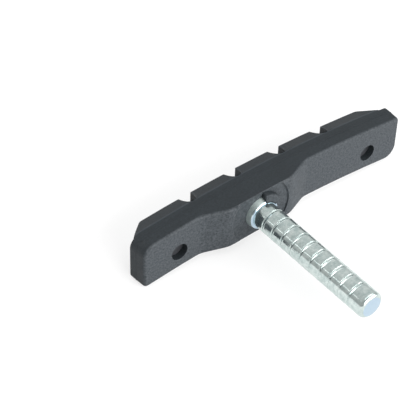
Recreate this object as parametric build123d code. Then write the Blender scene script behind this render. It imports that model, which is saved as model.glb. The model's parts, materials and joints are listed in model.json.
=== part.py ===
from build123d import *
import math
import os

os.makedirs("parts", exist_ok=True)

# Frame: origin on the post's axis, in the plane of the collar's outer face.
# X runs along the pad towards its long end, Y towards the wheel rim, Z away from the hub.
# All sizes are in millimetres and all angles in degrees.

# Pad outline, seen along the post
pad_length = 70.4
pad_height = 11.0
post_to_short_end = 28.8
arch_radius = 300.0
large_corner = 3.0
small_corner = 1.0

# Pad section, from the back face to the friction face
back_depth = 2.8
band_depth = 2.0
block_depth = 3.3
mould_draft = 2.0
end_draft = 4.0
block_side_drop = 1.2
short_end_ledge = 1.0
long_end_ledge = 2.2
end_ledge_below_ridge = 0.2
end_slope_length = 4.0
end_slope_round = 1.5
back_edge_chamfer = 0.4
trim_spare = 0.5

# Slots between the friction blocks, each with a deep pocket behind its upper end
slot_count = 4
slot_pitch = 11.9
slot_width = 3.0
slot_depth = 1.7
slot_shift = -0.8
slot_lip = 0.15
slot_end_round = 1.2
pocket_height = 1.6
pocket_below_ridge = 0.3

# Boss that carries the post, with the shallow seat round the collar
boss_height = 2.4
boss_half_width = 8.2
ramp_angle = 22.5
ramp_round = 5.0
seat_diameter = 15.0
seat_depth = 0.3

# Rubber lip that hugs the upper side of the collar
lip_width = 1.2
lip_height = 1.45
lip_start_angle = 28.0
lip_sweep = 60.0

# Locator holes that held the plate in the mould
locator_diameter = 4.0
locator_spacing = 51.8
locator_drop = 1.0

# Steel plate inside the rubber
plate_cover = 1.6
plate_thickness = 1.4
plate_side_margin = 2.2
plate_end_margin = 3.4
plate_corner = 1.6

# Post with its collar and grip grooves, and the shank and riveted tail inside the rubber
post_diameter = 6.0
post_length = 32.8
tip_round = 1.0
collar_diameter = 7.6
collar_thickness = 1.5
collar_chamfer = 0.4
groove_count = 10
groove_start = 2.67
groove_to_tip = 4.165
groove_width = 0.5
groove_depth = 0.14
shank_diameter = 5.2
tail_diameter = 4.2
rivet_diameter = 6.8
rivet_thickness = 0.7

# Places that follow from the sizes above
seat_y = collar_thickness
boss_y = seat_y - seat_depth
back_y = boss_y + boss_height
parting_y = back_y + back_depth
ridge_y = parting_y + band_depth
friction_y = ridge_y + block_depth
ledge_y = ridge_y - end_ledge_below_ridge
slot_floor_y = friction_y - slot_depth
pocket_floor_y = ridge_y - pocket_below_ridge
plate_back_y = back_y + plate_cover
plate_front_y = plate_back_y + plate_thickness
rivet_y = plate_front_y + rivet_thickness
short_end_x = -post_to_short_end
long_end_x = pad_length - post_to_short_end
pad_middle_x = (short_end_x + long_end_x) / 2
boss_foot_x = boss_half_width + boss_height / math.tan(math.radians(ramp_angle))
draft_slope = math.tan(math.radians(mould_draft))
end_draft_slope = math.tan(math.radians(end_draft))
groove_pitch = (post_length - groove_start - groove_to_tip) / (groove_count - 1)
collar_radius = collar_diameter / 2
post_radius = post_diameter / 2


def arc_height(x, offset):
    """Height of an arc that runs along the pad, offset from its arched middle line."""
    return math.sqrt((arch_radius + offset) ** 2 - (x - pad_middle_x) ** 2) - arch_radius


def across(y):
    """Sketch plane square to the post, with X to the right and Z up, facing along the post."""
    return Plane(origin=(0, y, 0), x_dir=(1, 0, 0), z_dir=(0, -1, 0))


def closed(points):
    """Flat face with straight sides through the points."""
    return make_face(Polyline(*points, close=True))


def rounded(outline, place, radius):
    """Outline with the corner nearest to a place rounded off."""
    return fillet(outline.vertices().sort_by_distance(place)[0], radius)


def arched_outline(y, side_inset, end_inset, corners):
    """Arched outline, drawn in from the pad's largest one, with its four corners rounded."""
    stations = (short_end_x + end_inset, pad_middle_x, long_end_x - end_inset)
    half = pad_height / 2 - side_inset
    top = ThreePointArc(*[(x, arc_height(x, half)) for x in stations])
    low = ThreePointArc(*[(x, arc_height(x, -half)) for x in stations])
    outline = make_face([top, low, Line(top @ 0, low @ 0), Line(top @ 1, low @ 1)])
    for place, radius in zip((top @ 0, low @ 0, top @ 1, low @ 1), corners):
        outline = rounded(outline, place, radius)
    return across(y) * outline


def pad_bar():
    """Bar bent round the hub: sides widest at the parting line, ends that lean out to the ridge."""
    rear_y = boss_y - trim_spare
    ridge_inset = draft_slope * band_depth
    side_insets = {rear_y: draft_slope * (parting_y - rear_y), parting_y: 0, ridge_y: ridge_inset}
    side_insets[friction_y] = ridge_inset + block_side_drop
    corners = (large_corner, small_corner, small_corner, large_corner)
    outlines = []
    for y, side_inset in side_insets.items():
        end_inset = end_draft_slope * max(ridge_y - y, 0)
        outlines.append(arched_outline(y, side_inset, end_inset, corners))
    slices = [loft(pair, ruled=True) for pair in zip(outlines, outlines[1:])]
    return slices[0] + slices[1:]


def pad_from_above():
    """Limits of the pad seen from above: flat back, ramps up to the boss, sloped friction ends."""
    ramps = [(-boss_foot_x, back_y), (-boss_half_width, boss_y)]
    ramps += [(boss_half_width, boss_y), (boss_foot_x, back_y)]
    long_foot_x = long_end_x - long_end_ledge
    short_foot_x = short_end_x + short_end_ledge
    past_long_x = long_end_x + trim_spare
    past_short_x = short_end_x - trim_spare
    long_end = [(past_long_x, back_y), (past_long_x, ledge_y), (long_foot_x, ledge_y)]
    short_end = [(short_foot_x, ledge_y), (past_short_x, ledge_y), (past_short_x, back_y)]
    crests = [(long_foot_x - end_slope_length, friction_y), (short_foot_x + end_slope_length, friction_y)]
    outline = closed(ramps + long_end + crests + short_end)
    for place in ramps:
        outline = rounded(outline, place, ramp_round)
    for place in crests:
        outline = rounded(outline, place, end_slope_round)
    return outline


def runs_up_ramp(edge):
    """True for the straight creases that cross the boss and its ramps."""
    upright = edge.bounding_box().size.X < back_edge_chamfer
    return upright and abs(edge.center().X) < boss_foot_x + ramp_round


def pad_block():
    """Outer form of the moulding, before its seat, slots and holes are cut."""
    block = pad_bar() & extrude(pad_from_above(), amount=pad_length, both=True)
    back_edges = [e for e in block.edges() if e.bounding_box().max.Y < back_y + back_edge_chamfer]
    return chamfer([e for e in back_edges if not runs_up_ramp(e)], back_edge_chamfer)


def slot_outline(x, height):
    """Upright outline that hangs from the upper end of a slot, with its upper corners rounded."""
    end_z = arc_height(x, pad_height / 2 - slot_lip)
    outline = Pos(x, end_z - height / 2) * Rectangle(slot_width, height)
    for side in (-1, 1):
        outline = rounded(outline, (x + side * slot_width / 2, end_z), slot_end_round)
    return outline


def slot_cut(x):
    """Slot that runs out at the lower side and ends in the pocket at the upper side."""
    slot = across(slot_floor_y) * slot_outline(x, pad_height)
    pocket = across(pocket_floor_y) * slot_outline(x, pocket_height)
    clear_y = friction_y + trim_spare
    return extrude(slot, amount=slot_floor_y - clear_y) + extrude(pocket, amount=pocket_floor_y - clear_y)


def collar_lip():
    """Part of a ring on the seat, which the collar trims from inside."""
    outer = collar_radius + lip_width
    crest_y = seat_y - lip_height
    root_y = seat_y + seat_depth
    section = closed([(post_radius, root_y), (outer, root_y), (outer, crest_y), (post_radius, crest_y)])
    return Rot(0, -lip_start_angle - lip_sweep, 0) * revolve(section, Axis.Y, lip_sweep)


def locator_hole(x):
    """Round hole in the back face that ends on the plate."""
    ring = across(plate_back_y) * Pos(x, arc_height(x, -locator_drop)) * Circle(locator_diameter / 2)
    return extrude(ring, amount=plate_back_y)


def make_plate():
    """Flat arched plate, with the hole that the post's tail is riveted through."""
    outline = arched_outline(plate_back_y, plate_side_margin, plate_end_margin, [plate_corner] * 4)
    outline -= across(plate_back_y) * Circle(tail_diameter / 2)
    return extrude(outline, amount=-plate_thickness)


def make_post():
    """Turned post: rounded tip, grip grooves, collar, shank, tail and rivet head."""
    shank_radius = shank_diameter / 2
    tail_radius = tail_diameter / 2
    rivet_radius = rivet_diameter / 2
    grooves = []
    for number in reversed(range(groove_count)):
        groove_y = -groove_start - number * groove_pitch
        grooves.append((post_radius, groove_y - groove_width / 2))
        grooves.append((post_radius - groove_depth, groove_y))
        grooves.append((post_radius, groove_y + groove_width / 2))
    tip = [(0, -post_length), (post_radius, -post_length)]
    collar = [(post_radius, 0), (collar_radius - collar_chamfer, 0)]
    collar += [(collar_radius, collar_chamfer), (collar_radius, seat_y)]
    shank = [(shank_radius, seat_y), (shank_radius, plate_back_y)]
    tail = [(tail_radius, plate_back_y), (tail_radius, plate_front_y)]
    rivet = [(rivet_radius, plate_front_y), (rivet_radius, rivet_y), (0, rivet_y)]
    section = closed(tip + grooves + collar + shank + tail + rivet)
    section = rounded(section, (post_radius, -post_length), tip_round)
    return revolve(section, Axis.Y)


def make_pad(plate, post):
    """Moulding with its seat, lip, slots and locator holes, closed round the plate and post."""
    pad = pad_block()
    pad -= extrude(across(seat_y) * Circle(seat_diameter / 2), amount=seat_y)
    pad += collar_lip()
    first_slot_x = pad_middle_x + slot_shift - (slot_count - 1) / 2 * slot_pitch
    for number in range(slot_count):
        pad -= slot_cut(first_slot_x + number * slot_pitch)
    for side in (-1, 1):
        pad -= locator_hole(pad_middle_x + side * locator_spacing / 2)
    return pad - plate - post


plate = make_plate()
post = make_post()
export_step(make_pad(plate, post), "parts/rubber_pad.step")
export_step(plate, "parts/backing_plate.step")
export_step(post, "parts/post.step")
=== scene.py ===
"""Bicycle rim brake pad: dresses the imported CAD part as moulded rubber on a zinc-plated post."""
import json
import math

import bmesh
import bpy
from bpy.props import FloatProperty, FloatVectorProperty, IntProperty, PointerProperty
from bpy.types import Operator, Panel, PropertyGroup
from mathutils import Matrix, Vector, noise


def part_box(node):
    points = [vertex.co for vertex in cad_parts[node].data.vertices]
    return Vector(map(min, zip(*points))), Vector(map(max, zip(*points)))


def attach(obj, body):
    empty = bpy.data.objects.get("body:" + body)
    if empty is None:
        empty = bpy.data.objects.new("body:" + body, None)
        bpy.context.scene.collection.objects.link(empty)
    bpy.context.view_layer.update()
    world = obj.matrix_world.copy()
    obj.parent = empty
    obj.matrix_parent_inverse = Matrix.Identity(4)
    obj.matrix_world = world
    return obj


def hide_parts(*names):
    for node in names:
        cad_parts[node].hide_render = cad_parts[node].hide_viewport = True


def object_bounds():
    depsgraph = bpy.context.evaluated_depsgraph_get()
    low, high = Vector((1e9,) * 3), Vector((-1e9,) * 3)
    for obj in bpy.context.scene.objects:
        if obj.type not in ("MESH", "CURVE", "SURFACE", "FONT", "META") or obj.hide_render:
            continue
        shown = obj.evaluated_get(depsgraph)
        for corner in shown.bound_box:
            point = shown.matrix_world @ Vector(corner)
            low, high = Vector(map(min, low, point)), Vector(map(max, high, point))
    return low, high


bl_info = {
    "name": "Brake Pad Dresser",
    "version": (1, 0, 0),
    "blender": (4, 5, 0),
    "location": "3D View > Sidebar > Brake Pad",
    "description": "Builds the rubber, post and plate of a bicycle rim brake pad around its CAD frame",
    "category": "Object",
}

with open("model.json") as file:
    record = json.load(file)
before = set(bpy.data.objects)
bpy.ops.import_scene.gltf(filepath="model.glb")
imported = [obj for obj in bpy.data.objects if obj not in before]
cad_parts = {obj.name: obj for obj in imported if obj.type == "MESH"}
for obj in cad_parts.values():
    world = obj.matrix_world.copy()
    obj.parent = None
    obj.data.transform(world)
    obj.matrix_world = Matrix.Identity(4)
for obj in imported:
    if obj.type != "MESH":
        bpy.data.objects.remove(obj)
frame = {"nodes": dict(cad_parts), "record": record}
CAD_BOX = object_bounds()
RUBBER_LOW, RUBBER_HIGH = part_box("rubber_pad")
PLATE_LOW, PLATE_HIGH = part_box("backing_plate")
POST_LOW, POST_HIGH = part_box("post")
COLLAR_RADIUS = POST_HIGH.x
POST_MOUNT = next(mount for mount in frame["record"]["mounts"] if mount["name"] == "post")
MM = 0.001

# Distances and angles of the mesh work
WELD = 0.001 * MM
SLIVER_WELD = 0.07 * MM
SLIVER_WIDTH = 0.02 * MM
CUT_SNAP = 0.0001 * MM
AT_PLACE = 0.001 * MM
SEAT_SPARE = 0.2 * MM
SEAM_ANGLE = math.radians(0.8)
EDGE_ANGLE = math.radians(16)
RUBBER_SHARP = math.radians(26)
POST_SHARP = math.radians(35)
FLOOR_SHARP = math.radians(30)

# Steps in a rounding
EDGE_STEPS = 4
LIP_STEPS = 6
TIP_STEPS = 6
COLLAR_STEPS = 6

# Rolled groove from its outer side to its inner side: places in groove widths, depths in groove depths.
# The third point is the crest of the burr that the rolling pushed up.
GROOVE_SHAPE = ((-1.15, 0.0), (-0.9, 0.0), (-0.72, -0.3), (-0.5, 0.1), (-0.05, 0.9), (0.1, 1.0),
                (0.25, 0.85), (0.5, 0.0), (0.65, 0.0))

# Flash from the back to the friction side: places in flash widths, heights in flash heights.
FLASH_SHAPE = ((-1.6, 0.0), (-1.0, -0.8), (0.0, 1.0), (1.0, -0.8), (1.6, 0.0))

# Seed of the lumps along the lip, which Blender would otherwise take from the clock
LUMP_SEED = 3

# How square to the post a face of the collar and a flat face have to be to get the painted pale blue
# reflection
COLLAR_FACING = 0.6
FLAT_FACING = 0.98

# Share of the post's radius below which a face of its wall lies in a groove
GROOVE_REACH = 0.995

# Length of one band of Blender's wave texture at a scale of 1
WAVE_BAND = math.tau / 20

# Soft boxes, in metres: name, setting of its power, place, width and height, direction of the height
SOFTBOXES = (
    ("front_softbox", "front_power", (0.20, -0.70, 0.30), (1.3, 0.55), (0, 0, 1)),
    ("overhead_softbox", "overhead_power", (0.10, -0.09, 0.50), (0.8, 0.26), (0, 1, 0)),
    ("rear_softbox", "rear_power", (-0.20, 0.70, 0.20), (0.6, 0.3), (0, 0, 1)),
    ("strip_light", "strip_power", (-0.33, 0.27, 0.2425), (0.02, 0.24), (0, 1, 0)),
)
WHITE = (1.0, 1.0, 1.0, 1.0)

# Camera: width of its sensor in millimetres, as its lens is given, and the nearest distance that it sees
# in metres
SENSOR_WIDTH = 36.0
CLIP_START = 0.01


def linear(hex_colour):
    """Linear RGBA of an sRGB hex colour."""
    parts = [int(hex_colour[k:k + 2], 16) / 255 for k in (1, 3, 5)]
    return [*(p / 12.92 if p <= 0.04045 else ((p + 0.055) / 1.055) ** 2.4 for p in parts), 1.0]


def length(name, millimetres, description):
    """Property for a length, given in millimetres and kept in metres."""
    return FloatProperty(name=name, description=description, default=millimetres * MM, min=0.0,
                         precision=5, unit="LENGTH", subtype="DISTANCE")


def angle(name, degrees, description):
    """Property for an angle, given in degrees and kept in radians."""
    return FloatProperty(name=name, description=description, default=math.radians(degrees),
                         unit="ROTATION", subtype="ANGLE")


def share(name, default, description):
    """Property for a share between nothing and all."""
    return FloatProperty(name=name, description=description, default=default, min=0.0, max=1.0,
                         subtype="FACTOR")


def power(name, watts, description):
    """Property for the power of a light."""
    return FloatProperty(name=name, description=description, default=watts, min=0.0, unit="POWER")


def count(name, default, description, least):
    """Property for a number of things."""
    return IntProperty(name=name, description=description, default=default, min=least)


def colour(name, hex_colour, description):
    """Property for a surface colour."""
    return FloatVectorProperty(name=name, description=description, default=linear(hex_colour),
                               size=4, min=0.0, max=1.0, subtype="COLOR")


class BrakePadRubber(PropertyGroup):
    """Sizes and colours of the rubber moulding."""
    half_height: length("Half Height", RUBBER_HIGH.z / MM, "Half of the moulding's height")
    half_length: length("Half Length", (RUBBER_HIGH.x - RUBBER_LOW.x) / 2 / MM,
                        "Half of the moulding's length")
    middle: length("Middle", (RUBBER_HIGH.x + RUBBER_LOW.x) / 2 / MM,
                   "Distance of the moulding's middle from the post's axis")
    arch_radius: length("Arch Radius", 300.0, "Radius of the arch that the moulding is bent to")
    core_depth: length("Core Depth", 2.0, "Depth below the outer walls at which the hidden core starts")
    parting_level: length("Parting Level", 6.4, "Place of the mould's parting line along the post")
    flash_height: length("Flash Height", 0.04, "How far the flash stands out at the parting line")
    flash_width: length("Flash Width", 0.22, "Distance from the flash to the fine groove on either side")
    flash_wave: length("Flash Wave", 3.0, "Distance along which the flash's height changes")
    flash_change: share("Flash Change", 0.6, "How much the flash's height changes")
    boss_level: length("Boss Level", 1.2, "Place of the boss's flat along the post")
    back_level: length("Back Level", 3.6, "Place of the back face along the post")
    back_edge: length("Back Edge", 0.5, "How far the edge of the back face reaches along the post")
    seat_radius: length("Seat Radius", 7.5, "Radius of the seat round the collar")
    seat_depth: length("Seat Depth", 0.3, "Depth of the seat below the boss's flat")
    lip_width: length("Lip Width", 1.2, "Width of the lip round the collar")
    lip_overhang: length("Lip Overhang", 0.35, "How far the lip reaches over the collar's face")
    lip_stand: length("Lip Stand", 0.04, "How far the lip's inner edge stands off the collar's face")
    lip_round: length("Lip Rounding", 0.5, "Rounding of the lip")
    lump_size: length("Lump Size", 0.9, "Size of the lumps along the lip")
    lump_height: length("Lump Height", 0.12, "Height of the lumps along the lip")
    back_round: length("Back Rounding", 0.2, "Rounding of the edges of the back face and the boss")
    edge_round: length("Edge Rounding", 0.22, "Rounding of the edges of the ridge, blocks and slots")
    grain_size: length("Grain Size", 0.45, "Size of the mould's grain, drawn coarse enough to show")
    grain_depth: length("Grain Depth", 0.06, "Depth of the mould's grain")
    front_grain: share("Front Grain", 0.6, "Grain of the friction side as a share of that of the back")
    mottle_size: length("Mottle Size", 6.0, "Size of the patches of bloom on the rubber")
    # Painted shade: the seat gets only this share of the painted front light, so it reads darker in its
    # recess
    seat_painted_light: share("Seat Bloom", 0.75, "Bloom of the seat as a share of that of the back")
    dark: colour("Dark Rubber", "#1f2427", "Colour of the rubber in the grain's hollows")
    light: colour("Light Rubber", "#2d3338", "Colour of the rubber on the grain's tops")
    # Painted light: colour mixed into faces by how squarely they face the front light at -Y, broken up by
    # the grain
    bloom_and_painted_light: colour("Bloom", "#464a4e", "Colour of the grained back, which the mould leaves paler")
    # Painted highlight: a lighter colour on the rounded edges of the friction side
    edge: colour("Edge Sheen", "#30363b", "Colour of the rubbed edges")


class BrakePadPlate(PropertyGroup):
    """Sizes and colours of the steel plate's primer."""
    dark: colour("Dark Primer", "#1d1e21", "Colour of the primer")
    light: colour("Light Primer", "#2f3136", "Colour of the primer's dusty patches")
    speck_size: length("Speck Size", 0.5, "Size of the primer's specks")
    peel_depth: length("Peel Depth", 0.03, "Depth of the primer's orange peel")


class BrakePadPost(PropertyGroup):
    """Sizes and colours of the post."""
    radius: length("Radius", POST_MOUNT["dims"]["r_mm"], "Radius of the post")
    collar_thickness: length("Collar Thickness", 1.5, "Thickness of the collar")
    collar_round: length("Collar Rounding", 0.45, "Rounding of the collar's edge")
    collar_taper: length("Collar Taper", 0.2, "How much the collar narrows towards its face")
    tip_round: length("Tip Rounding", 1.0, "Rounding of the tip")
    groove_count: count("Grooves", 10, "Number of grip grooves", 0)
    groove_pitch: length("Groove Pitch", 2.885, "Distance between the grip grooves")
    groove_start: length("Groove Start", 2.67, "Distance of the first groove from the collar")
    groove_width: length("Groove Width", 0.52, "Width of a grip groove")
    groove_depth: length("Groove Depth", 0.13, "Depth of a grip groove")
    groove_matt: share("Groove Mattness", 0.35,
                       "How matt the grooves are, from the wall at 0 to the collar at 1")
    shank_radius: length("Shank Radius", 2.6, "Radius of the shank inside the rubber")
    shank_end: length("Shank End", PLATE_LOW.y / MM,
                      "Place along the post where the shank meets the plate")
    tail_radius: length("Tail Radius", 2.1, "Radius of the tail inside the plate")
    tail_end: length("Tail End", PLATE_HIGH.y / MM, "Place along the post where the rivet head starts")
    rivet_radius: length("Rivet Radius", 3.4, "Radius of the rivet head")
    facets: count("Facets", 96, "Steps round the post", 12)
    turning_pitch: length("Turning Pitch", 0.22,
                          "Spacing of the turning marks, drawn coarse enough to show")
    turning_depth: length("Turning Depth", 0.02, "Depth of the turning marks")
    patch_size: length("Patch Size", 1.1, "Size of the brighter and duller patches of zinc")
    dent_size: length("Dent Size", 1.6, "Size of the shallow dents under the zinc")
    dent_depth: length("Dent Depth", 0.02, "Depth of the shallow dents under the zinc")
    bright: colour("Bright Zinc", "#d5e0dd", "Colour of the zinc plate")
    dull: colour("Dull Zinc", "#b6c5c3", "Colour of the zinc's duller patches")
    # Painted reflection: pale blue that the flat faces across the post get in place of the zinc's own
    # colour
    faced: colour("Faced Zinc", "#bacedd", "Colour of the flat faces across the post")


class BrakePadStage(PropertyGroup):
    """Floor, light and camera."""
    floor: colour("Floor", "#9c9c9c", "Colour of the floor")
    floor_glow: FloatProperty(name="Floor Glow", description="Light that the floor itself gives",
                              default=0.64, min=0.0)
    floor_half: length("Floor Half Size", 4000.0, "Half of the floor's side")
    front_power: power("Front Power", 15.0, "Power of the front soft box")
    overhead_power: power("Overhead Power", 0.75, "Power of the overhead soft box")
    rear_power: power("Rear Power", 2.5, "Power of the rear soft box")
    strip_power: power("Strip Power", 0.03, "Power of the strip light")
    bright_side: FloatVectorProperty(name="Bright Side", default=(0.43, 0.57, 0.70), subtype="DIRECTION",
                                     description="Direction of the surround's bright side")
    far_wall: share("Far Wall", 0.48, "Brightness of the surround away from its bright side")
    near_wall: share("Near Wall", 0.72, "Brightness of the surround towards its bright side")
    wall_glow: share("Wall Glow", 0.1, "What the middle of the bright side adds to that")
    lens: FloatProperty(name="Lens", description="Focal length of the camera", default=138.43,
                        unit="CAMERA")
    azimuth: angle("Azimuth", -38.935, "Camera's bearing")
    elevation: angle("Elevation", 42.642, "Camera's elevation")
    roll: angle("Roll", 1.522, "Camera's roll")
    distance: length("Distance", 321.592, "Distance from the camera to its target's plane")
    target_level: length("Target Level", 3.6, "Place of the camera's target along the post's axis")
    target_right: length("Target Right", 11.2825, "How far right of the picture's middle the target lies")
    target_down: length("Target Down", 1.1656, "How far below the picture's middle the target lies")


def add_node(tree, kind, inputs=None, **settings):
    """Adds a node, sets its properties, and sets or links its inputs."""
    node = tree.nodes.new(kind)
    for name, value in settings.items():
        setattr(node, name, value)
    for name, value in (inputs or {}).items():
        if isinstance(value, bpy.types.NodeSocket):
            tree.links.new(value, node.inputs[name])
        else:
            node.inputs[name].default_value = value
    return node


def new_material(name):
    """Empty node material and its tree."""
    material = bpy.data.materials.new(name)
    material.use_nodes = True
    material.node_tree.nodes.clear()
    return material, material.node_tree


def rubber_material(rubber):
    """Moulded black rubber: matt and finely grained behind the parting line, smoother before it."""
    material, tree = new_material("moulded_black_rubber")
    place = add_node(tree, "ShaderNodeTexCoord").outputs["Object"]
    grain = add_node(tree, "ShaderNodeTexNoise", {
        "Vector": place, "Scale": 1 / rubber.grain_size, "Detail": 2.0, "Roughness": 0.6})
    mottle = add_node(tree, "ShaderNodeTexNoise", {
        "Vector": place, "Scale": 1 / rubber.mottle_size, "Detail": 4.0, "Roughness": 0.6})
    along = add_node(tree, "ShaderNodeSeparateXYZ", {0: place}).outputs["Y"]
    grained = add_node(tree, "ShaderNodeMapRange", {
        "Value": along, "From Min": rubber.parting_level - rubber.flash_width,
        "From Max": rubber.parting_level + rubber.flash_width,
        "To Min": 1.0, "To Max": rubber.front_grain})
    relief = add_node(tree, "ShaderNodeMath", {
        0: grain.outputs["Fac"], 1: grained.outputs["Result"]}, operation="MULTIPLY")
    speckle = add_node(tree, "ShaderNodeMapRange", {
        "Value": grain.outputs["Fac"], "From Min": 0.24, "From Max": 0.76})
    tone = add_node(tree, "ShaderNodeMath", {
        0: speckle.outputs["Result"], 1: mottle.outputs["Fac"]}, operation="MULTIPLY")
    body = add_node(tree, "ShaderNodeMix", {
        0: tone.outputs[0], 6: rubber.dark, 7: rubber.light}, data_type="RGBA")
    # Painted light: faces turned to the front light are mixed towards the pale colour, broken up by the
    # grain's speckle
    bloomed = add_node(tree, "ShaderNodeAttribute", attribute_name="bloomed")
    cover = add_node(tree, "ShaderNodeMath", {
        0: bloomed.outputs["Fac"], 1: speckle.outputs["Result"]}, operation="MULTIPLY")
    back = add_node(tree, "ShaderNodeMix", {
        0: cover.outputs[0], 6: body.outputs[2], 7: rubber.bloom_and_painted_light}, data_type="RGBA")
    # Painted highlight: the rounded edges of the friction side are mixed towards the lighter edge colour
    rubbed = add_node(tree, "ShaderNodeAttribute", attribute_name="rubbed")
    surface = add_node(tree, "ShaderNodeMix", {
        0: rubbed.outputs["Fac"], 6: back.outputs[2], 7: rubber.edge}, data_type="RGBA")
    gloss = add_node(tree, "ShaderNodeMapRange", {
        "Value": mottle.outputs["Fac"], "From Min": 0.3, "From Max": 0.7, "To Min": 0.5, "To Max": 0.62})
    bump = add_node(tree, "ShaderNodeBump", {
        "Height": relief.outputs[0], "Strength": 0.5, "Distance": rubber.grain_depth})
    shader = add_node(tree, "ShaderNodeBsdfPrincipled", {
        "Base Color": surface.outputs[2], "Roughness": gloss.outputs["Result"], "IOR": 1.5,
        "Specular IOR Level": 0.22, "Normal": bump.outputs["Normal"]})
    add_node(tree, "ShaderNodeOutputMaterial", {"Surface": shader.outputs["BSDF"]})
    return material


def zinc_material(post):
    """Bright zinc plate on turned steel: mirror-like, drawn out along the post by the turning marks."""
    material, tree = new_material("bright_zinc_plate")
    place = add_node(tree, "ShaderNodeTexCoord").outputs["Object"]
    patch = add_node(tree, "ShaderNodeTexNoise", {
        "Vector": place, "Scale": 1 / post.patch_size, "Detail": 4.0, "Roughness": 0.65})
    blotch = add_node(tree, "ShaderNodeMapRange", {
        "Value": patch.outputs["Fac"], "From Min": 0.35, "From Max": 0.65})
    tint = add_node(tree, "ShaderNodeMix", {
        0: blotch.outputs["Result"], 6: post.dull, 7: post.bright}, data_type="RGBA")
    # Painted reflection: the faces across the post, towards the tip, are mixed towards a pale blue
    faced = add_node(tree, "ShaderNodeAttribute", attribute_name="faced")
    skin = add_node(tree, "ShaderNodeMix", {
        0: faced.outputs["Fac"], 6: tint.outputs[2], 7: post.faced}, data_type="RGBA")
    gloss = add_node(tree, "ShaderNodeMapRange", {
        "Value": patch.outputs["Fac"], "From Min": 0.3, "From Max": 0.7, "To Min": 0.2, "To Max": 0.11})
    rough = add_node(tree, "ShaderNodeAttribute", attribute_name="rough")
    matt = add_node(tree, "ShaderNodeMapRange", {
        "Value": rough.outputs["Fac"], "To Min": gloss.outputs["Result"], "To Max": 0.5})
    dents = add_node(tree, "ShaderNodeTexNoise", {
        "Vector": place, "Scale": 1 / post.dent_size, "Detail": 1.0})
    dented = add_node(tree, "ShaderNodeBump", {
        "Height": dents.outputs["Fac"], "Strength": 1.0, "Distance": post.dent_depth})
    marks = add_node(tree, "ShaderNodeTexWave", {
        "Vector": place, "Scale": WAVE_BAND / post.turning_pitch, "Distortion": 1.2, "Detail": 2.0,
        "Detail Scale": 3.0}, wave_type="BANDS", bands_direction="Y")
    bump = add_node(tree, "ShaderNodeBump", {
        "Height": marks.outputs["Fac"], "Strength": 0.12, "Distance": post.turning_depth,
        "Normal": dented.outputs["Normal"]})
    round_post = add_node(tree, "ShaderNodeTangent", direction_type="RADIAL", axis="Y")
    shader = add_node(tree, "ShaderNodeBsdfPrincipled", {
        "Base Color": skin.outputs[2], "Metallic": 1.0, "Roughness": matt.outputs["Result"],
        "Anisotropic": 0.3, "Tangent": round_post.outputs["Tangent"], "Normal": bump.outputs["Normal"]})
    add_node(tree, "ShaderNodeOutputMaterial", {"Surface": shader.outputs["BSDF"]})
    return material


def primer_material(plate):
    """Flat black primer on steel: dark and dusty, with a fine orange peel."""
    material, tree = new_material("black_primer")
    place = add_node(tree, "ShaderNodeTexCoord").outputs["Object"]
    speck = add_node(tree, "ShaderNodeTexNoise", {
        "Vector": place, "Scale": 1 / plate.speck_size, "Detail": 3.0})
    tint = add_node(tree, "ShaderNodeMix", {
        0: speck.outputs["Fac"], 6: plate.dark, 7: plate.light}, data_type="RGBA")
    gloss = add_node(tree, "ShaderNodeMapRange", {
        "Value": speck.outputs["Fac"], "To Min": 0.5, "To Max": 0.75})
    bump = add_node(tree, "ShaderNodeBump", {
        "Height": speck.outputs["Fac"], "Strength": 0.3, "Distance": plate.peel_depth})
    shader = add_node(tree, "ShaderNodeBsdfPrincipled", {
        "Base Color": tint.outputs[2], "Roughness": gloss.outputs["Result"],
        "Normal": bump.outputs["Normal"]})
    add_node(tree, "ShaderNodeOutputMaterial", {"Surface": shader.outputs["BSDF"]})
    return material


def floor_material(stage):
    """Opal light table: a matt sheet that glows, so that it looks white and shadows on it stay pale."""
    material, tree = new_material("opal_light_table")
    sheet = add_node(tree, "ShaderNodeBsdfDiffuse", {"Color": stage.floor})
    glow = add_node(tree, "ShaderNodeEmission", {"Strength": stage.floor_glow})
    both = add_node(tree, "ShaderNodeAddShader", {0: sheet.outputs["BSDF"], 1: glow.outputs["Emission"]})
    add_node(tree, "ShaderNodeOutputMaterial", {"Surface": both.outputs["Shader"]})
    return material


def mesh_piece(name, bm, material, sharp_angle):
    """Finished piece from a bmesh, at the origin, shaded smooth up to an angle."""
    mesh = bpy.data.meshes.new(name)
    bm.to_mesh(mesh)
    bm.free()
    mesh.shade_smooth()
    mesh.set_sharp_from_angle(angle=sharp_angle)
    mesh.materials.clear()
    mesh.materials.append(material)
    piece = bpy.data.objects.new(name, mesh)
    bpy.context.scene.collection.objects.link(piece)
    return piece


def from_axis(point):
    """Distance of a point from the post's axis."""
    return math.hypot(point.x, point.z)


def sharp_edges(bm, wanted):
    """Edges that are sharp enough to be rounded and whose ends pass a test."""
    return [edge for edge in bm.edges
            if edge.calc_face_angle(0.0) > EDGE_ANGLE and wanted([vert.co for vert in edge.verts])]


def round_off(bm, edges, radius, steps):
    """Rounds edges off and gives the new faces."""
    made = bmesh.ops.bevel(bm, geom=edges, offset=radius, offset_type="OFFSET", segments=steps,
                           profile=0.5, affect="EDGES", clamp_overlap=False, material=-1)
    return made["faces"]


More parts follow.
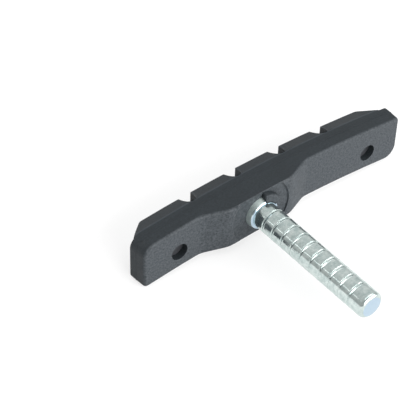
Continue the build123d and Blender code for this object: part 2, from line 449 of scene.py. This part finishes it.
class BRAKEPAD_OT_rubber(Operator):
    """Rubber moulding: the CAD form with rounded edges, a lumpy lip and flash at its parting line"""
    bl_idname = "brakepad.rubber"
    bl_label = "Rubber Moulding"

    def execute(self, context):
        rubber = context.scene.brakepad_rubber
        bm = self.welded_form()
        self.shape_lip(bm, rubber)
        self.round_outside(bm, rubber)
        # Paints front light into the faces that turn towards it
        self.paint_front_light(bm, rubber)
        self.raise_flash(bm, rubber)
        piece = mesh_piece("brake_pad_rubber", bm, rubber_material(rubber), RUBBER_SHARP)
        piece.modifiers.new("flat_faces", "WEIGHTED_NORMAL").keep_sharp = True
        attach(piece, "root")
        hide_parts("rubber_pad")
        return {"FINISHED"}

    @staticmethod
    def welded_form():
        """Closed copy of the CAD form, without its slivers and the seams in its flat faces."""
        bm = bmesh.new()
        bm.from_mesh(frame["nodes"]["rubber_pad"].data)
        bmesh.ops.remove_doubles(bm, verts=bm.verts, dist=WELD)
        bmesh.ops.remove_doubles(bm, verts=bm.verts, dist=SLIVER_WELD)
        bmesh.ops.dissolve_degenerate(bm, dist=SLIVER_WIDTH, edges=bm.edges)
        bmesh.ops.dissolve_limit(bm, angle_limit=SEAM_ANGLE, verts=bm.verts, edges=bm.edges)
        return bm

    @staticmethod
    def on_lip(rubber, point):
        """True for a point of the lip's crest, which stands proud of the boss."""
        return point.y < rubber.boss_level / 2

    @staticmethod
    def on_seat(rubber, point):
        """True for a point of the seat, its rim or its lip."""
        near = from_axis(point) < rubber.seat_radius + SEAT_SPARE
        return near and point.y < rubber.boss_level + rubber.seat_depth + SEAT_SPARE

    @staticmethod
    def outside(rubber, point):
        """True for a point of the moulding's outside, false for one of the hidden core."""
        along = point.x - rubber.middle
        across = math.hypot(along, point.z + rubber.arch_radius) - rubber.arch_radius
        within_sides = abs(across) < rubber.half_height - rubber.core_depth
        within_ends = abs(along) < rubber.half_length - rubber.core_depth
        return not (within_sides and within_ends)

    def shape_lip(self, bm, rubber):
        """Lip round the collar: soft and lumpy, with its inner edge lapped over the collar's rim."""
        inner = COLLAR_RADIUS + rubber.lip_width / 4
        outer = COLLAR_RADIUS + rubber.lip_width / 2
        for vert in bm.verts:
            if self.on_lip(rubber, vert.co) and from_axis(vert.co) < inner:
                inward = Vector((vert.co.x, 0.0, vert.co.z)).normalized() * rubber.lip_overhang
                vert.co -= inward + Vector((0.0, vert.co.y + rubber.lip_stand, 0.0))

        def on_rim(ends):
            on_crest = any(self.on_lip(rubber, point) for point in ends)
            return on_crest and any(from_axis(point) > outer for point in ends)

        round_off(bm, sharp_edges(bm, on_rim), rubber.lip_round, LIP_STEPS)
        noise.seed_set(LUMP_SEED)
        for vert in bm.verts:
            if self.on_lip(rubber, vert.co):
                vert.co += noise.noise_vector(vert.co / rubber.lump_size) * rubber.lump_height

    def round_outside(self, bm, rubber):
        """Rounds the edges of the back, then those of the friction side, whose new faces are marked for a
        painted highlight.
        """
        back_end = rubber.back_level + rubber.back_edge

        def on_back(ends):
            return all(point.y < back_end and not self.on_seat(rubber, point)
                       and self.outside(rubber, point) for point in ends)

        def on_front(ends):
            return all(point.y > back_end and self.outside(rubber, point) for point in ends)

        round_off(bm, sharp_edges(bm, on_back), rubber.back_round, EDGE_STEPS)
        # Marks the rounded edges of the friction side for a painted highlight
        rubbed = bm.faces.layers.float.new("rubbed")
        for face in round_off(bm, sharp_edges(bm, on_front), rubber.edge_round, EDGE_STEPS):
            face[rubbed] = 1.0

    def paint_front_light(self, bm, rubber):
        """Paints front light into each face: the more squarely a face turns to -Y, where the front light
        comes from, the paler; the seat a little less, a painted shade in its recess.
        """
        bm.normal_update()
        bloomed = bm.faces.layers.float.new("bloomed")
        for face in bm.faces:
            seated = all(self.on_seat(rubber, vert.co) for vert in face.verts)
            face[bloomed] = max(-face.normal.y, 0.0) * (rubber.seat_painted_light if seated else 1.0)

    def raise_flash(self, bm, rubber):
        """Flash at the parting line: a fine raised line of uneven height between two fine grooves."""
        lifts = {rubber.parting_level + place * rubber.flash_width: lift for place, lift in FLASH_SHAPE}
        for level in lifts:
            bmesh.ops.bisect_plane(bm, geom=[*bm.verts, *bm.edges, *bm.faces], dist=CUT_SNAP,
                                   plane_co=(0, level, 0), plane_no=(0, 1, 0))
        for vert in bm.verts:
            lift = next((rise for level, rise in lifts.items() if abs(vert.co.y - level) < AT_PLACE), 0.0)
            if lift and self.outside(rubber, vert.co):
                height = rubber.flash_height
                height *= 1.0 + rubber.flash_change * noise.noise(vert.co / rubber.flash_wave)
                away = Vector((vert.normal.x, 0.0, vert.normal.z)).normalized()
                vert.co += away * lift * height


class BRAKEPAD_OT_plate(Operator):
    """Steel plate: the CAD form under flat black primer"""
    bl_idname = "brakepad.plate"
    bl_label = "Steel Plate"

    def execute(self, context):
        plate = frame["nodes"]["backing_plate"]
        plate.data.materials.clear()
        plate.data.materials.append(primer_material(context.scene.brakepad_plate))
        return {"FINISHED"}


class BRAKEPAD_OT_post(Operator):
    """Post: turned from one profile, with its grooves, collar, rounded tip and hidden shank"""
    bl_idname = "brakepad.post"
    bl_label = "Grooved Post"

    def execute(self, context):
        post = context.scene.brakepad_post
        bm = bmesh.new()
        verts = [bm.verts.new((x, y, 0.0)) for x, y in self.profile(post)]
        edges = [bm.edges.new(pair) for pair in zip(verts, verts[1:])]
        bmesh.ops.spin(bm, geom=verts + edges, cent=(0, 0, 0), axis=(0, 1, 0), dvec=(0, 0, 0),
                       angle=math.tau, steps=post.facets, use_merge=True)
        bmesh.ops.remove_doubles(bm, verts=bm.verts, dist=WELD)
        bmesh.ops.recalc_face_normals(bm, faces=bm.faces)
        round_off(bm, self.tip_ring(bm, post), post.tip_round, TIP_STEPS)
        self.mark_finish(bm, post)
        piece = mesh_piece("brake_pad_post", bm, zinc_material(post), POST_SHARP)
        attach(piece, "root")
        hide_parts("post")
        return {"FINISHED"}

    @staticmethod
    def profile(post):
        """Turned profile from the tip to the rivet head, as radii and places along the post."""
        points = [(0.0, POST_LOW.y), (post.radius, POST_LOW.y)]
        for number in reversed(range(post.groove_count)):
            place = -post.groove_start - number * post.groove_pitch
            points += [(post.radius - depth * post.groove_depth, place + along * post.groove_width)
                       for along, depth in GROOVE_SHAPE]
        points.append((post.radius, 0.0))
        flat_radius = COLLAR_RADIUS - post.collar_taper - post.collar_round
        for step in range(COLLAR_STEPS + 1):
            turn = math.radians(90) * step / COLLAR_STEPS
            points.append((flat_radius + post.collar_round * math.sin(turn),
                           post.collar_round * (1 - math.cos(turn))))
        points += [(COLLAR_RADIUS, post.collar_thickness), (post.shank_radius, post.collar_thickness)]
        points += [(post.shank_radius, post.shank_end), (post.tail_radius, post.shank_end)]
        points += [(post.tail_radius, post.tail_end), (post.rivet_radius, post.tail_end)]
        return points + [(post.rivet_radius, POST_HIGH.y), (0.0, POST_HIGH.y)]

    @staticmethod
    def tip_ring(bm, post):
        """Edges of the ring where the tip's flat meets the wall."""
        def at_tip(point):
            at_wall = abs(from_axis(point) - post.radius) < AT_PLACE
            return at_wall and abs(point.y - POST_LOW.y) < AT_PLACE

        ring = [edge for edge in bm.edges if all(at_tip(vert.co) for vert in edge.verts)]
        if not ring:
            raise RuntimeError("the post has no ring of edges at its tip")
        return ring

    @staticmethod
    def mark_finish(bm, post):
        """Marks the faces across the post that get a painted pale blue reflection, the matt wall of the
        collar and the duller grooves.
        """
        bm.normal_update()
        faced = bm.faces.layers.float.new("faced")
        rough = bm.faces.layers.float.new("rough")
        for face in bm.faces:
            middle = face.calc_center_median()
            reach = from_axis(middle)
            facing = -face.normal.y
            collar_face = facing > COLLAR_FACING and reach > post.radius
            face[faced] = float(collar_face or facing > FLAT_FACING)
            on_wall = POST_LOW.y + post.tip_round < middle.y < 0
            if reach > COLLAR_RADIUS - post.collar_taper:
                face[rough] = 1.0
            elif on_wall and reach < post.radius * GROOVE_REACH:
                face[rough] = post.groove_matt


class BRAKEPAD_OT_stage(Operator):
    """Pale floor, soft studio light and the camera"""
    bl_idname = "brakepad.stage"
    bl_label = "Stage"

    def execute(self, context):
        stage = context.scene.brakepad_stage
        self.lay_floor(stage)
        self.light_world(context.scene, stage)
        for name, setting, place, size, upright in SOFTBOXES:
            self.add_softbox(name, getattr(stage, setting), place, size, upright)
        self.set_camera(context.scene, stage)
        context.scene.view_settings.view_transform = "Standard"
        return {"FINISHED"}

    @staticmethod
    def lay_floor(stage):
        """Flat floor under the lowest point of the part."""
        bm = bmesh.new()
        bmesh.ops.create_grid(bm, x_segments=1, y_segments=1, size=stage.floor_half,
                              matrix=Matrix.Translation((0, 0, CAD_BOX[0].z)))
        mesh_piece("floor", bm, floor_material(stage), FLOOR_SHARP)

    @staticmethod
    def light_world(scene, stage):
        """Pale surround, brighter high up behind the pad's long end."""
        scene.world = bpy.data.worlds.new("studio")
        scene.world.use_nodes = True
        tree = scene.world.node_tree
        tree.nodes.clear()
        heading = add_node(tree, "ShaderNodeTexCoord").outputs["Generated"]
        facing = add_node(tree, "ShaderNodeVectorMath", {0: heading, 1: stage.bright_side},
                          operation="DOT_PRODUCT")
        walls = add_node(tree, "ShaderNodeMapRange", {
            "Value": facing.outputs["Value"], "From Min": -0.1, "From Max": 0.6,
            "To Min": stage.far_wall, "To Max": stage.near_wall})
        glow = add_node(tree, "ShaderNodeMapRange", {
            "Value": facing.outputs["Value"], "From Min": 0.7, "From Max": 1.0,
            "To Max": stage.wall_glow}, interpolation_type="SMOOTHSTEP")
        both = add_node(tree, "ShaderNodeMath", {0: walls.outputs["Result"], 1: glow.outputs["Result"]})
        sky = add_node(tree, "ShaderNodeBackground", {"Color": WHITE, "Strength": both.outputs[0]})
        add_node(tree, "ShaderNodeOutputWorld", {"Surface": sky.outputs["Background"]})

    @staticmethod
    def add_softbox(name, watts, place, size, upright):
        """Rectangular light that faces the origin, with its height along a direction."""
        data = bpy.data.lights.new(name, "AREA")
        data.shape = "RECTANGLE"
        data.size, data.size_y = size
        data.energy = watts
        back = Vector(place).normalized()
        side = Vector(upright).cross(back).normalized()
        lamp = bpy.data.objects.new(name, data)
        lamp.matrix_world = Matrix((side, back.cross(side), back)).transposed().to_4x4()
        lamp.location = place
        lamp.visible_camera = False
        bpy.context.scene.collection.objects.link(lamp)

    @staticmethod
    def set_camera(scene, stage):
        """Camera at the photograph's angle, moved across its view to the photograph's framing."""
        data = bpy.data.cameras.new("camera")
        data.sensor_width = SENSOR_WIDTH
        data.lens = stage.lens
        data.clip_start = CLIP_START
        level = math.cos(stage.elevation)
        back = Vector((level * math.sin(stage.azimuth), -level * math.cos(stage.azimuth),
                       math.sin(stage.elevation)))
        unrolled = Vector((math.cos(stage.azimuth), math.sin(stage.azimuth), 0.0))
        right = Matrix.Rotation(stage.roll, 3, back) @ unrolled
        up = back.cross(right)
        target = Vector((0.0, stage.target_level, 0.0))
        camera = bpy.data.objects.new("camera", data)
        camera.matrix_world = Matrix((right, up, back)).transposed().to_4x4()
        across_view = up * stage.target_down - right * stage.target_right
        camera.location = target + back * stage.distance + across_view
        scene.collection.objects.link(camera)
        scene.camera = camera


class BRAKEPAD_PT_sidebar(Panel):
    """Lists the pieces and their settings"""
    bl_idname = "BRAKEPAD_PT_sidebar"
    bl_label = "Brake Pad"
    bl_space_type = "VIEW_3D"
    bl_region_type = "UI"
    bl_category = "Brake Pad"

    def draw(self, context):
        for operator, group, name in PIECES:
            box = self.layout.box()
            box.operator(operator.bl_idname)
            for setting in group.__annotations__:
                box.prop(getattr(context.scene, name), setting)


# Each operator, the class of its settings and the scene's property that holds them
PIECES = (
    (BRAKEPAD_OT_rubber, BrakePadRubber, "brakepad_rubber"),
    (BRAKEPAD_OT_plate, BrakePadPlate, "brakepad_plate"),
    (BRAKEPAD_OT_post, BrakePadPost, "brakepad_post"),
    (BRAKEPAD_OT_stage, BrakePadStage, "brakepad_stage"),
)


def register():
    for operator, group, name in PIECES:
        bpy.utils.register_class(group)
        setattr(bpy.types.Scene, name, PointerProperty(type=group))
        bpy.utils.register_class(operator)
    bpy.utils.register_class(BRAKEPAD_PT_sidebar)


def unregister():
    bpy.utils.unregister_class(BRAKEPAD_PT_sidebar)
    for operator, group, name in PIECES:
        bpy.utils.unregister_class(operator)
        delattr(bpy.types.Scene, name)
        bpy.utils.unregister_class(group)


def main():
    register()
    bpy.ops.brakepad.rubber()
    bpy.ops.brakepad.plate()
    bpy.ops.brakepad.post()
    bpy.ops.brakepad.stage()


if __name__ == "__main__":
    main()
